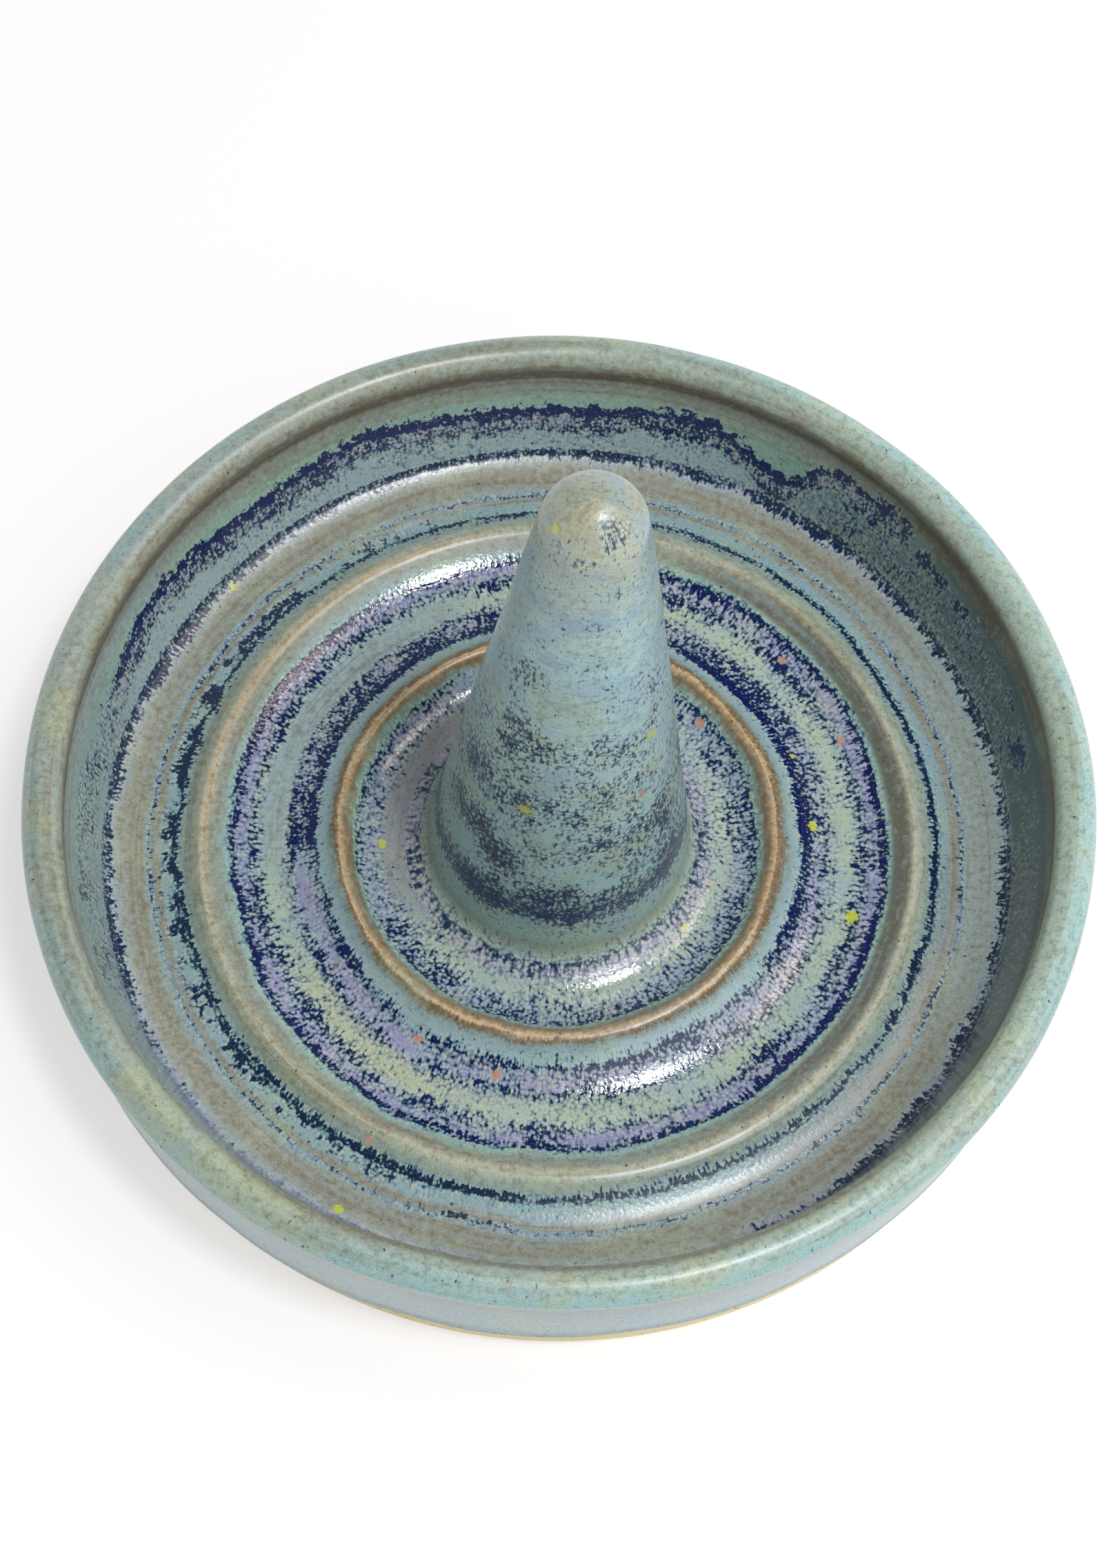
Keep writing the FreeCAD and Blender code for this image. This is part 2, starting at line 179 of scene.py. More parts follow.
def new_finish(name):
    """A material, its shader, and the place on the surface in millimetres."""
    finish = bpy.data.materials.new(name)
    finish.use_nodes = True
    shader = finish.node_tree.nodes["Principled BSDF"]
    coordinates = Signal(finish.node_tree.nodes.new("ShaderNodeTexCoord").outputs["Object"])
    sockets = {0: coordinates, "Scale": 1 / MM}
    place = coordinates.node("ShaderNodeVectorMath", {"operation": "SCALE"}, sockets)
    return finish, shader, place


def feed(shader, **signals):
    for name, signal in signals.items():
        socket = shader.inputs[name.replace("_", " ")]
        shader.id_data.links.new(signal.socket, socket)


def bare_stoneware():
    finish, shader, place = new_finish("bare_stoneware")
    streaks = place.vector("MULTIPLY", (0.25, 0.25, 3.0)).noise(1.0, detail=3)
    grain = place.noise(0.25, detail=3)
    iron = place.noise(0.7).between(2.2, 3.0)
    colour = (streaks.between(-2, 2) * 0.5).mix(paint(*CLAY_PALE), paint(*CLAY_WARM))
    colour = (grain.between(0, 3) * 0.35).mix(colour, paint(*CLAY_WARM))
    colour = (iron * 0.7).mix(colour, paint(*CLAY_IRON))
    bump = place.node("ShaderNodeBump", None, {"Strength": 0.5, "Distance": 0.006 * MM, "Height": grain})
    feed(shader, Base_Color=colour, Roughness=0.8 + grain * 0.03, Normal=bump)
    return finish


turning_marks = [
    (index * TURNING_PITCH / 2, RECESS_DEPTH - TURNING_DEPTH * ((index + 1) % 2))
    for index in range(1, int(2 * RECESS_RADIUS / TURNING_PITCH))
]
dish_section = trace(
    (0, RECESS_DEPTH),
    *([mark] for mark in turning_marks),
    [(RECESS_RADIUS - 0.4, RECESS_DEPTH)],
    [(RECESS_RADIUS, RECESS_DEPTH - 0.5)],
    [(RECESS_RADIUS, 0.15)],
    [(RECESS_RADIUS + 0.15, 0)],
    [(FOOT_RADIUS - FOOT_BEVEL - 0.2, 0)],
    [(FOOT_RADIUS - FOOT_BEVEL * 0.5, 0.18), (FOOT_RADIUS, FOOT_BEVEL)],
    [(53.9, 18.2)],
    [(54.5, 20.0), (RIM_RADIUS, 21.6)],
    [(51.3, 20.0), (51.55, 19.0)],
    [(48.55, 9.2)],
    [(48.0, 7.8), (47.2, 6.8)],
    [(44.0, 6.35), (38.4, 8.1)],
    [(37.6, 8.3), (36.8, 8.05)],
    [(31.0, 6.25), (23.6, 9.0)],
    [(23.15, 9.25), (22.7, 9.0)],
    [(19.0, 6.7), (16.4, 7.15)],
    [(0, 7.15)],
)
thrown_dish = throw("thrown_dish", dish_section)
clay = bare_stoneware()
thrown_dish.data.materials.append(clay)
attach(thrown_dish, "root")
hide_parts("dish_body")


# Cone, slip and coil
# The cone was thrown apart, set in slip on the dish's floor while both were damp, and sealed round its
# foot with a coil of clay. All of it is under the glaze.
for node in ("ring_cone", "joint_slip", "cone_coil"):
    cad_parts[node].material_slots[0].material = clay


# Liner glaze
# A flowing glaze was poured over the floor and the inner wall. It runs off the thrown ridges, where
# it fires tan, and pools in the troughs, where navy crystals lie among lilac and cream ones.
COAT = 0.45
GLASS_IOR = 1.62
ROUGHNESS = 0.32
RELIEF = 0.005
UNEVENNESS = 0.3
DRIFT_SIZE = 28

LINE_SWEEP = 1.8
LINE_PITCH = 0.5
SWAY_SWEEP = 1.6
SWAY_PITCH = 8.0
BRISTLE_WIDTH = 0.32
BRISTLE_LENGTH = 0.9
GRAIN_SIZE = 0.2
CRUMB_SIZE = 0.38
CELL_SIZE = 0.42
MOTTLE_SIZE = 0.7
PATCH_SIZE = 5.0
TONE_SIZE = 8.0

NAVY = (4, 14, 88)
INK = (6, 38, 50)
WHITE = (214, 222, 220)
CREAM = (208, 214, 180)
HAZE = (92, 124, 142)
SLATE = (84, 102, 146)
BLUE = (42, 74, 138)
RUST = (104, 80, 52)
SOOT = (34, 40, 42)
FLECK = (206, 212, 70)
SALMON = (196, 148, 126)
YELLOW_GREEN = (182, 196, 160)
SKY = (152, 180, 198)
LILAC = (164, 158, 188)


def bands_at(position, bands):
    """The glaze's colour along a section and its share of dark crystals, from a few places in mm."""
    low, high = bands[0][0], bands[-1][0]
    stops = [((mm - low) / (high - low), (*paint(*colour)[:3], dark)) for mm, colour, dark in bands]
    sockets = {"Value": position, "From Min": low, "From Max": high}
    along = position.node("ShaderNodeMapRange", None, sockets)
    pale = along.node("ShaderNodeValToRGB", {"stops": stops}, {"Fac": along})
    return pale, Signal(pale.socket.node.outputs["Alpha"])


def radius_of(place):
    flat = place.vector("MULTIPLY", (1, 1, 0))
    return flat.node("ShaderNodeVectorMath", {"operation": "LENGTH"}, {0: flat}, output="Value")


def height_of(place):
    return place.node("ShaderNodeSeparateXYZ", None, {0: place}, output="Z")


def heading_of(place):
    flat = place.vector("MULTIPLY", (1, 1, 0))
    return flat.node("ShaderNodeVectorMath", {"operation": "NORMALIZE"}, {0: flat})


def round_the_dish(place, position, sweep, pitch):
    """A vector that turns with the dish and runs along its section, for streaks one way or the other."""
    heading = heading_of(place)
    across = place.node("ShaderNodeCombineXYZ", None, {"Z": position * (1 / pitch)})
    return heading.vector("MULTIPLY", (sweep, sweep, 0)).vector("ADD", across)


def sway_of(place, radius):
    """A slow wander of the bands, as the dish turns."""
    return round_the_dish(place, radius, SWAY_SWEEP, SWAY_PITCH).noise(1.0)


def towards(place, bearing, edge, middle):
    """1 on the side of the dish at that bearing, 0 away from it, eased between two angles from it."""
    heading = heading_of(place)
    way = (math.cos(math.radians(bearing)), math.sin(math.radians(bearing)), 0)
    settings = {"operation": "DOT_PRODUCT"}
    facing = heading.node("ShaderNodeVectorMath", settings, {0: heading, 1: way}, output="Value")
    return facing.between(math.cos(math.radians(edge)), math.cos(math.radians(middle)))


def spot(place, ragged, bearing, radius, height, width, core=0.36, edge=0.52):
    """1 inside a ragged spot on the surface, 0 outside it, eased between two shares of its width."""
    turn = math.radians(bearing)
    centre = (radius * math.cos(turn), radius * math.sin(turn), height)
    settings = {"operation": "DISTANCE"}
    away = place.node("ShaderNodeVectorMath", settings, {0: place, 1: centre}, output="Value")
    return 1 - (away + ragged * width).between(width * core, width * edge)


def fire(
    shader, place, position, reach, bands,
    deep=NAVY, more=0.0, soft=0.0, gloss=0.24, tints_and_painted_light=(), flecks=(), dots=(),
):
    """Colours a glaze by its bands: pale crystals, with more or fewer dark ones among them."""
    lines = round_the_dish(place, position, LINE_SWEEP, LINE_PITCH).noise(1.0, detail=3)
    bristles = round_the_dish(place, position, reach / BRISTLE_WIDTH, BRISTLE_LENGTH).noise(1.0)
    patches = place.noise(PATCH_SIZE, detail=3)
    crumbs = place.noise(CRUMB_SIZE, detail=2, roughness=0.6)
    grain = place.noise(GRAIN_SIZE)
    sockets = {"Vector": place, "Scale": 1 / CELL_SIZE}
    cells = place.node("ShaderNodeTexVoronoi", {"feature": "F1"}, sockets)
    cells = (cells - 0.53) * 5.6
    pale, share = bands_at(position + lines * 0.08 + patches * 0.12 + bristles * 0.10, bands)
    share = share + more
    pooled = share.between(0.0, 0.05)
    thin = 1 - pooled
    share = share + patches * share.between(0.0, 0.25) * 0.08
    level = crumbs * 0.32 + bristles * 0.55 + cells * 0.75 + share * 5.2 - 2.6
    dark = level.between(-0.2 - soft, 0.7 + soft)
    ink = level.between(0.3, 1.8).mix(paint(*INK), paint(*deep))
    ink = (crumbs.between(0.0, 2.0) * 0.35).mix(ink, paint(*BLUE))

    tone = place.noise(TONE_SIZE, detail=3)
    pale = (tone.between(0.3, 2.0) * 0.30).mix(pale, paint(*YELLOW_GREEN))
    pale = ((1 - tone.between(-1.8, -0.2)) * pooled * 0.45).mix(pale, paint(*SKY))
    # Tints over the pale crystals: glaze colours, and in places painted shade and painted sheen.
    for amount, tint in tints_and_painted_light:
        pale = amount.mix(pale, paint(*tint))
    mottle = place.noise(MOTTLE_SIZE, detail=4, roughness=0.7)
    pale = (mottle.between(-0.2, 2.2) * thin * 0.40).mix(pale, paint(*RUST))
    pale = ((1 - mottle.between(-2.2, -0.2)) * thin * 0.22).mix(pale, paint(*WHITE))
    pale = (lines.between(0.4, 2.2) * thin * 0.25).mix(pale, paint(*RUST))
    pale = ((1 - lines.between(-2.2, -0.4)) * thin * 0.30).mix(pale, paint(*SKY))
    crystals = share.between(0.04, 0.16)
    pale = (cells.between(-0.2, 1.6) * crystals * 0.55).mix(pale, paint(*SLATE))
    pale = ((1 - cells.between(-1.8, -0.2)) * crystals * 0.35).mix(pale, paint(*WHITE))
    pale = (bristles.between(0.2, 2.0) * crystals * 0.30).mix(pale, paint(*SLATE))
    pale = ((1 - bristles.between(-2.0, -0.2)) * crystals * 0.35).mix(pale, paint(*CREAM))
    pale = (level.between(-1.7, 0.2) * pooled * 0.70).mix(pale, paint(*HAZE))
    colour = dark.mix(pale, ink)
    colour = ((1 - grain.between(-1.8, 0.4)) * 0.18).mix(colour, paint(*SOOT))
    for tint, spots in ((FLECK, flecks), (SALMON, dots)):
        for where in spots:
            colour = (spot(place, crumbs * 0.07, *where) * 0.85).mix(colour, paint(*tint))
    roughness = ROUGHNESS - pooled * gloss + grain * 0.012
    relief = (crumbs * 0.6 - cells) * pooled + grain * 0.2 + lines * 0.3
    sockets = {"Strength": 0.5, "Distance": RELIEF * MM, "Height": relief}
    bump = place.node("ShaderNodeBump", None, sockets)
    shader.inputs["IOR"].default_value = GLASS_IOR
    feed(shader, Base_Color=colour, Roughness=roughness, Normal=bump)


def coat_over(face):
    """The closed section of a coat of glaze, from the places along its face."""
    ways = [after - before for before, after in zip([face[0], *face], [*face[1:], face[-1]])]
    back = [place - 1j * way / abs(way) * COAT for place, way in zip(face, ways)]
    return [*face, *reversed(back), face[0]]


def settle(piece, finish, node):
    piece.data.materials.append(finish)
    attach(piece, "root")
    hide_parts(node)


def push(piece, way, strength, texture, guide=None, weights=""):
    """Shifts a piece along an axis by a texture: one laid on the piece itself, or on a guide."""
    shift = piece.modifiers.new("shift", "DISPLACE")
    shift.direction = way
    shift.strength = strength * MM
    shift.texture = texture
    shift.texture_coords = "OBJECT" if guide else "LOCAL"
    shift.texture_coords_object = guide
    shift.vertex_group = weights
    bpy.context.view_layer.objects.active = piece
    bpy.ops.object.modifier_apply(modifier=shift.name)


def clouds_of(name, size):
    clouds = bpy.data.textures.new(name, "CLOUDS")
    clouds.noise_scale = size * MM
    return clouds


def by_hand(piece):
    """The slight unevenness of a thrown form."""
    for way in "XYZ":
        push(piece, way, UNEVENNESS, clouds_of(f"{piece.name}_{way}", DRIFT_SIZE))


# Well: the narrow trough between the coil and the fine brown ring.
WELL_BANDS = (
    (15.8, (168, 168, 192), 0.28),
    (16.3, (166, 176, 184), 0.22),
    (16.8, (168, 186, 180), 0.16),
    (17.6, (174, 192, 180), 0.15),
    (18.3, (166, 184, 180), 0.22),
    (18.9, (158, 174, 186), 0.36),
    (19.6, (154, 170, 192), 0.40),
    (20.3, (156, 166, 196), 0.34),
    (20.9, (144, 174, 184), 0.48),
    (21.3, (144, 184, 180), 0.60),
    (21.55, (152, 190, 178), 0.15),
    (21.85, (142, 158, 140), 0.00),
    (22.1, (146, 138, 112), 0.00),
    (22.45, (150, 130, 96), 0.00),
    (22.8, (186, 156, 114), 0.00),
    (23.2, (210, 186, 146), 0.00),
)
well_face = trace((16.2, 7.70), [(19.0, 7.24), (22.45, 9.58)], [(22.75, 9.81), (23.17, 9.90)])
well_glaze = throw("well_glaze", coat_over(well_face))
by_hand(well_glaze)
finish, shader, place = new_finish("well_glaze")
radius = radius_of(place)
sway = sway_of(place, radius)
grey = towards(place, 165, 60, 25) * (1 - radius.between(18.4, 19.2))
fire(
    shader, place, radius + sway * 0.12, 19, WELL_BANDS,
    more=grey * -0.14,
    tints_and_painted_light=[(grey * 0.75, (158, 160, 166))],
    flecks=[(184, 18.5, 7.2, 1.0), (325, 16.7, 7.6, 0.7)],
    dots=[(44, 20.7, 7.8, 1.2), (345, 16.9, 7.5, 0.7)],
)
settle(well_glaze, finish, "liner_glaze")

# Trough: from the brown ring out to the rounded ridge, where the glaze lies thickest.
TROUGH_BANDS = (
    (23.17, (210, 186, 146), 0.00),
    (23.45, (156, 122, 80), 0.00),
    (23.75, (120, 100, 70), 0.00),
    (24.0, (142, 152, 138), 0.00),
    (24.4, (154, 180, 182), 0.03),
    (25.2, (164, 192, 198), 0.04),
    (25.55, (154, 190, 190), 0.14),
    (25.8, (140, 170, 186), 0.56),
    (26.2, (140, 158, 186), 0.62),
    (26.7, (158, 162, 192), 0.44),
    (27.3, (164, 162, 200), 0.26),
    (28.0, (160, 164, 198), 0.30),
    (28.5, (154, 166, 182), 0.50),
    (28.9, (154, 172, 180), 0.46),
    (29.4, (166, 184, 178), 0.26),
    (30.2, (178, 198, 184), 0.10),
    (31.0, (182, 200, 182), 0.08),
    (31.7, (168, 188, 182), 0.26),
    (32.3, (158, 174, 184), 0.52),
    (32.8, (154, 164, 188), 0.50),
    (33.4, (160, 158, 202), 0.24),
    (34.0, (154, 152, 200), 0.30),
    (34.35, (126, 132, 172), 0.66),
    (34.75, (112, 132, 164), 0.74),
    (35.0, (138, 186, 184), 0.46),
    (35.25, (158, 192, 182), 0.08),
    (35.7, (156, 178, 168), 0.03),
    (36.2, (150, 160, 146), 0.00),
    (36.9, (160, 164, 146), 0.00),
    (37.5, (192, 192, 168), 0.00),
    (38.0, (180, 186, 166), 0.00),
    (38.9, (168, 186, 170), 0.00),
)
trough_face = trace(
    (23.17, 9.90),
    [(23.55, 9.82), (23.95, 9.50)],
    [(31.0, 6.80), (36.75, 8.66)],
    [(37.65, 8.92), (38.7, 8.60)],
)
trough_glaze = throw("trough_glaze", coat_over(trough_face))
by_hand(trough_glaze)
finish, shader, place = new_finish("trough_glaze")
radius = radius_of(place)
sway = sway_of(place, radius)
middle = radius.between(28.6, 29.6) * (1 - radius.between(31.4, 32.4))
calm = towards(place, 150, 45, 22) * middle
yellow = towards(place, 232, 32, 12) * middle
heavy = towards(place, 20, 55, 30) + towards(place, 145, 50, 30) - towards(place, 215, 45, 20) * 0.5
heavy = heavy * (radius.between(25.4, 25.8) - radius.between(27.2, 28.8))
edged = towards(place, 330, 50, 25) * radius.between(34.0, 34.4)
# Painted sheen: a warm tint on the ridge's crest at the back left stands for a warm light's reflection.
painted_warm_sheen = towards(place, 150, 50, 20) * radius.between(36.8, 37.3) * (1 - radius.between(37.7, 38.1))
olive = towards(place, 195, 60, 30) * radius.between(37.7, 38.1)
# Painted shade: the ridge's inner flank on the right, which faces away from the light, is darkened.
painted_shade = towards(place, 5, 75, 30) * radius.between(35.2, 35.9) * (1 - radius.between(37.0, 37.9))
fire(
    shader, place, radius + sway * 0.12, 30, TROUGH_BANDS,
    more=calm * -0.20 + heavy * 0.24 + edged * (1 - radius.between(34.8, 35.1)) * 0.12,
    tints_and_painted_light=[
        (calm * 0.8, (152, 176, 184)),
        (yellow * 0.45, (196, 198, 152)),
        (painted_shade * 0.8, (94, 98, 84)),
        (painted_warm_sheen * 0.5, (210, 180, 136)),
        (olive * 0.55, (136, 142, 120)),
    ],
    flecks=[(6, 27.3, 7.4, 1.2), (347, 32.2, 6.9, 1.6), (24, 27.2, 7.4, 0.7)],
    dots=[(240, 27.0, 7.5, 1.2), (259, 27.3, 7.4, 1.2), (24, 33.0, 7.0, 1.0), (44, 33.0, 7.0, 1.0)],
)
settle(trough_glaze, finish, "liner_glaze")

# Moat: the outer trough, thinly glazed, with fine throwing lines, out to the foot of the wall.
MOAT_BANDS = (
    (38.7, (168, 186, 170), 0.00),
    (39.3, (158, 178, 166), 0.00),
    (39.7, (142, 172, 168), 0.14),
    (40.0, (120, 166, 172), 0.66),
    (40.35, (112, 162, 172), 0.72),
    (40.6, (140, 190, 184), 0.20),
    (41.0, (152, 184, 186), 0.06),
    (42.0, (152, 178, 184), 0.03),
    (42.4, (154, 156, 140), 0.00),
    (42.8, (146, 148, 132), 0.00),
    (43.05, (140, 170, 182), 0.20),
    (43.25, (132, 164, 182), 0.48),
    (43.5, (154, 174, 176), 0.06),
    (44.1, (154, 162, 150), 0.00),
    (44.8, (152, 154, 138), 0.00),
    (45.7, (156, 158, 142), 0.00),
    (46.4, (160, 168, 154), 0.00),
    (46.9, (168, 180, 180), 0.05),
    (47.2, (180, 182, 192), 0.24),
    (47.45, (130, 144, 170), 0.66),
    (48.2, (122, 142, 166), 0.58),
)
moat_face = trace((38.7, 8.60), [(44.0, 6.90), (47.45, 7.60)], [(47.85, 7.88), (48.07, 8.30)])
moat_glaze = throw("moat_glaze", coat_over(moat_face))
by_hand(moat_glaze)
finish, shader, place = new_finish("moat_glaze")
radius = radius_of(place)
sway = sway_of(place, radius)
clumped = towards(place, 182, 80, 45) * radius.between(40.2, 40.8) * (1 - radius.between(41.4, 42.8))
clumps = place.noise(2.2, detail=3).between(-0.9, 1.3)
lined = towards(place, 20, 60, 30) * radius.between(39.8, 40.1) * (1 - radius.between(40.4, 40.8))
dulled = towards(place, 200, 60, 30) * (1 - radius.between(39.2, 39.8))
shaded = towards(place, 330, 38, 15) * radius.between(40.4, 40.8) * (1 - radius.between(42.2, 42.8))
blued = towards(place, 8, 42, 15) * radius.between(43.4, 44.2)
bared = towards(place, 255, 58, 22) * radius.between(46.5, 47)
fire(
    shader, place, radius + sway * 0.08, 43, MOAT_BANDS,
    deep=(4, 32, 70),
    gloss=0.05,
    more=clumped * clumps * 0.7 + lined * 0.15 - bared * 0.55,
    tints_and_painted_light=[
        (dulled * 0.6, (126, 134, 116)),
        (blued * 0.6, (168, 190, 186)),
        (shaded * 0.5, (124, 132, 130)),
    ],
    flecks=[(142, 47.0, 7.4, 0.9), (244, 46.5, 7.2, 1.2)],
    dots=[(243, 39.0, 8.4, 1.0)],
)
settle(moat_glaze, finish, "liner_glaze")

# Wall: the inside of the wall up to the crest of the rolled rim. At the back the glaze ran in drips,
# whose edge is given by its height at each bearing.
WALL_BANDS = (
    (7.9, (122, 142, 166), 0.60),
    (8.3, (126, 156, 168), 0.44),
    (8.7, (146, 172, 174), 0.16),
    (9.4, (134, 150, 144), 0.14),
    (11.0, (130, 154, 156), 0.18),
    (13.5, (136, 164, 158), 0.16),
    (15.4, (140, 178, 158), 0.08),
    (16.6, (130, 138, 120), 0.00),
    (17.6, (118, 112, 90), 0.00),
    (18.3, (104, 86, 60), 0.00),
    (18.8, (112, 94, 66), 0.00),
    (19.4, (138, 130, 104), 0.00),
    (20.2, (174, 180, 158), 0.00),
    (21.0, (178, 192, 174), 0.00),
    (21.6, (170, 188, 174), 0.00),
    (22.2, (166, 188, 178), 0.00),
)
DRIP_TOP = 20
DRIP_LINE = (
    (0, 12.0),
    (25, 16.6),
    (35, 14.8),
    (41, 16.8),
    (46, 17.3),
    (51, 16.6),
    (55, 17.1),
    (57.5, 15.8),
    (59, 13.9),
    (61.5, 11.8),
    (63.5, 12.2),
    (68, 14.0),
    (72, 15.8),
    (78, 15.4),
    (86, 14.2),
    (98, 14.2),
    (110, 14.6),
    (118, 15.4),
    (126, 14.6),
    (134, 14.1),
    (141, 14.3),
    (146, 15.0),
    (155, 15.6),
    (165, 13.5),
    (180, 12.5),
)
DRIP_BANDS = (
    (-3.0, LILAC, 0.00),
    (-0.6, LILAC, 0.04),
    (-0.2, LILAC, 0.20),
    (0.15, LILAC, 0.80),
    (0.9, LILAC, 0.90),
    (1.3, LILAC, 0.40),
    (2.2, LILAC, 0.24),
    (2.6, LILAC, 0.48),
    (3.0, LILAC, 0.40),
    (3.5, LILAC, 0.10),
    (5.5, LILAC, 0.02),
    (8.0, LILAC, 0.00),
)
wall_face = trace(
    (48.07, 8.30),
    [(50.62, 16.95)],
    [(50.87, 17.95), (50.88, 19.35)],
    [(51.45, 21.50), (52.9, 22.10)],
)
wall_glaze = throw("wall_glaze", coat_over(wall_face))
by_hand(wall_glaze)
finish, shader, place = new_finish("wall_glaze")
height = height_of(place)
east = place.node("ShaderNodeSeparateXYZ", None, {0: place}, output="X")
north = place.node("ShaderNodeSeparateXYZ", None, {0: place}, output="Y")
bearing = (0 - east).math("ARCTAN2", north) * (180 / math.pi) + 90
drip_stops = [(degrees / 180, (*[mm / DRIP_TOP] * 3, 1.0)) for degrees, mm in DRIP_LINE]
drip_line = bearing.node("ShaderNodeValToRGB", {"stops": drip_stops}, {"Fac": bearing * (1 / 180)})
drip_line = drip_line * DRIP_TOP
ragged = place.noise(1.2, detail=3, roughness=0.65)
below_drip = drip_line - height + ragged * 0.34
drip = bands_at(below_drip, DRIP_BANDS)[1]
branching = bearing.between(36, 50) * 0.78 + bearing.between(56, 64) * 0.22
flowing = branching * (1 - bearing.between(158, 172))
specked = below_drip.between(-0.3, 0.5) - below_drip.between(1.6, 4.0) * 0.75
specked = towards(place, 26, 34, 18) * specked
lower = below_drip.between(2.8, 4.0) * flowing * bearing.between(56, 70)
upper = height.between(11.0, 12.5) * (1 - height.between(16.0, 17.0))
upper = (1 - below_drip.between(-0.5, 0.1)) * upper * flowing
back = towards(place, 118, 85, 55)
smudged = towards(place, 192, 26, 8) * height.between(9, 10.5) * (1 - height.between(14, 16))
blots = place.noise(4.0, detail=3).between(-1.0, 1.2)
bared = towards(place, 255, 58, 22) * (1 - height.between(8.5, 9.2))
inside = height.between(8.4, 9.4) * (1 - height.between(16.2, 17.4))
on_the_rim = height.between(19.4, 20.4)
inner_edge = on_the_rim * (1 - height.between(21.6, 22.1))
stained_edge = on_the_rim * (1 - height.between(20.9, 21.8))
under_edge = height.between(18.4, 18.9) * (1 - height.between(19.9, 21.0))
below_rim = height.between(15.6, 16.4) * (1 - height.between(18.0, 18.7))
clear = towards(place, 180, 40, 20) * inside
sallow = place.noise(9.0, detail=3).between(-0.2, 1.6) * towards(place, 250, 110, 60) * on_the_rim
stains = place.noise(2.6, detail=4, roughness=0.65).between(-1.2, 1.4)
fire(
    shader, place, height, 50, WALL_BANDS,
    more=drip * flowing + (specked * 0.6 + smudged * 0.25) * blots
    - upper * 0.1 - lower * 0.09 - clear * 0.06 - bared * 0.5,
    tints_and_painted_light=[
        # Painted shade: the inner wall on the right, facing away from the light, is darkened, most near
        # bearing 336.
        (towards(place, 340, 92, 40) * inside * 0.85, (80, 95, 97)),
        (towards(place, 336, 22, 8) * inside * 0.5, (54, 64, 68)),
        (clear * 0.5, (152, 180, 184)),
        (below_drip.between(0.8, 1.2) * (1 - below_drip.between(2.4, 3.2)) * flowing * 0.8, LILAC),
        (lower * 0.8, (174, 198, 204)),
        (upper * 0.7, (162, 198, 180)),
        (back * below_rim * 0.7, (164, 176, 162)),
        (towards(place, 182, 42, 24) * below_rim * 0.6, (160, 182, 182)),
        # Rim lighter at the right, greyer at the left: partly glaze colour, partly painted light and
        # shade.
        (towards(place, 350, 85, 40) * on_the_rim * 0.45, (188, 212, 190)),
        (towards(place, 155, 75, 45) * on_the_rim * 0.5, (152, 154, 138)),
        (sallow * 0.45, (192, 200, 150)),
        (towards(place, 275, 50, 25) * inner_edge * 0.8, (140, 138, 118)),
        (towards(place, 130, 125, 70) * stained_edge * stains * 0.55, (138, 122, 90)),
        (towards(place, 110, 125, 80) * under_edge * 0.7, (102, 84, 56)),
    ],
)
settle(wall_glaze, finish, "liner_glaze")


# Cone glaze
# The cone was dipped with the dish's own glaze, which ran down its flank and broke into mottled blue
# and green. It gathers in a dark ring above the cove at its foot, and in patches on the flank, each
# given by its bearing, radius, height and width.
CONE_LEAN = 1.7
CONE_SEAT = 7.8
CONE_TIP = 78.05
GUIDE_REACH = 100
CONE_BANDS = (
    (7.0, (152, 152, 180), 0.42),
    (8.0, (172, 170, 190), 0.28),
    (8.35, (136, 150, 168), 0.64),
    (8.7, (160, 184, 176), 0.14),
    (9.8, (160, 170, 150), 0.05),
    (12.0, (158, 190, 178), 0.06),
    (14.6, (150, 186, 180), 0.14),
    (15.6, (134, 170, 172), 0.64),
    (17.0, (130, 166, 172), 0.80),
    (18.6, (150, 192, 190), 0.48),
    (21.0, (176, 220, 220), 0.30),
    (26.0, (178, 220, 220), 0.29),
    (32.0, (176, 216, 216), 0.25),
    (40.0, (182, 218, 216), 0.17),
    (50.0, (190, 228, 226), 0.06),
    (60.0, (194, 232, 232), 0.03),
    (70.0, (192, 216, 208), 0.03),
    (75.0, (188, 198, 174), 0.03),
    (78.0, (186, 188, 158), 0.03),
)
CONE_DARKS = (
    (252, 10.3, 35.4, 6.0),
    (256, 8.9, 45.7, 5.0),
    (334, 11.6, 26.1, 5.5),
    (238, 11.8, 24.7, 6.0),
    (306, 3.4, 76.6, 3.6),
    (257, 4.7, 74.1, 2.4),
    (331, 12.6, 19.5, 5.0),
    (208, 10.2, 36.2, 6.5),
    (215, 11.4, 27.0, 6.0),
    (228, 9.0, 44.0, 4.0),
    (232, 7.5, 55.7, 4.0),
    (345, 10.0, 38.0, 5.0),
    (300, 9.0, 44.5, 3.0),
    (150, 9.6, 40.0, 6.0),
    (85, 11.0, 30.0, 6.5),
    (30, 8.8, 46.0, 5.0),
)
cone_face = trace(
    (0, CONE_TIP),
    [(3.55, 76.55), (4.98, 73.6)],
    [(9.55, 41.0), (13.68, 11.0)],
    [(14.5, 8.7), (16.2, 7.70)],
)


def push_evenly(piece, way, slope, start, turn, weights=""):
    """Shifts a piece by so much for each millimetre from a guide, along the guide's X axis."""
    bpy.ops.object.select_all(action="DESELECT")
    bpy.ops.object.empty_add(location=start, rotation=turn)
    guide = bpy.context.object
    guide.scale = (GUIDE_REACH * MM, GUIDE_REACH * MM, GUIDE_REACH * MM)
    bpy.context.view_layer.update()
    push(piece, way, slope * GUIDE_REACH * 2, bpy.data.textures.new(piece.name, "BLEND"), guide, weights)
    bpy.data.objects.remove(guide)


